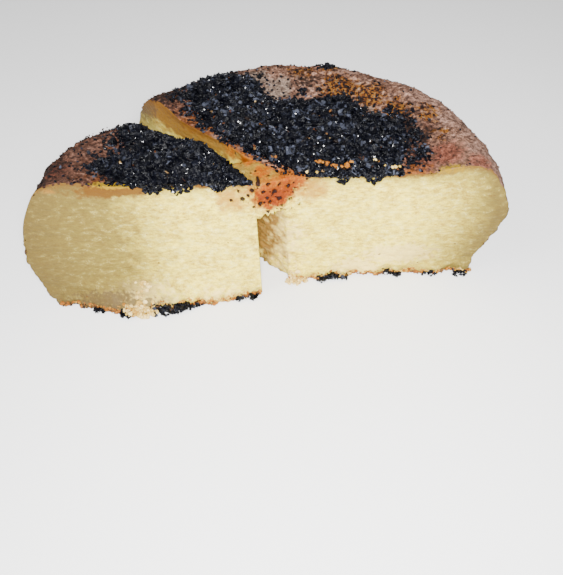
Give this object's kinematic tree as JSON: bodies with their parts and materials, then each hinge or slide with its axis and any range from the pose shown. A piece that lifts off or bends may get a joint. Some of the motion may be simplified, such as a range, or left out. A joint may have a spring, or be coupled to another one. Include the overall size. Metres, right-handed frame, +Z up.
{
  "type": "wine-aged pecorino, cut half wheel",
  "caption": "Half wheel of wine-aged sheep's cheese, cut into a large slice and a wedge, with a crumbly dark layer of grape marc on top and clumps of it at the foot.",
  "frame": {"origin": "middle of the bounding box on the plane that the cheese stands on", "axes": "+Z up, +X along the cut faces to the right, +Y from the cut faces to the back of the rim"},
  "size_m": [0.2216, 0.122, 0.0781],
  "materials": {
    "paste": "cream-yellow paste, slightly waxy, with a brown rind",
    "marc": "near-black moist grape skins and seeds"
  },
  "bodies": {
    "root": {"cheese_main": "paste", "cheese_wedge": "paste", "marc_main": "marc", "marc_wedge": "marc"}
  },
  "joints": []
}
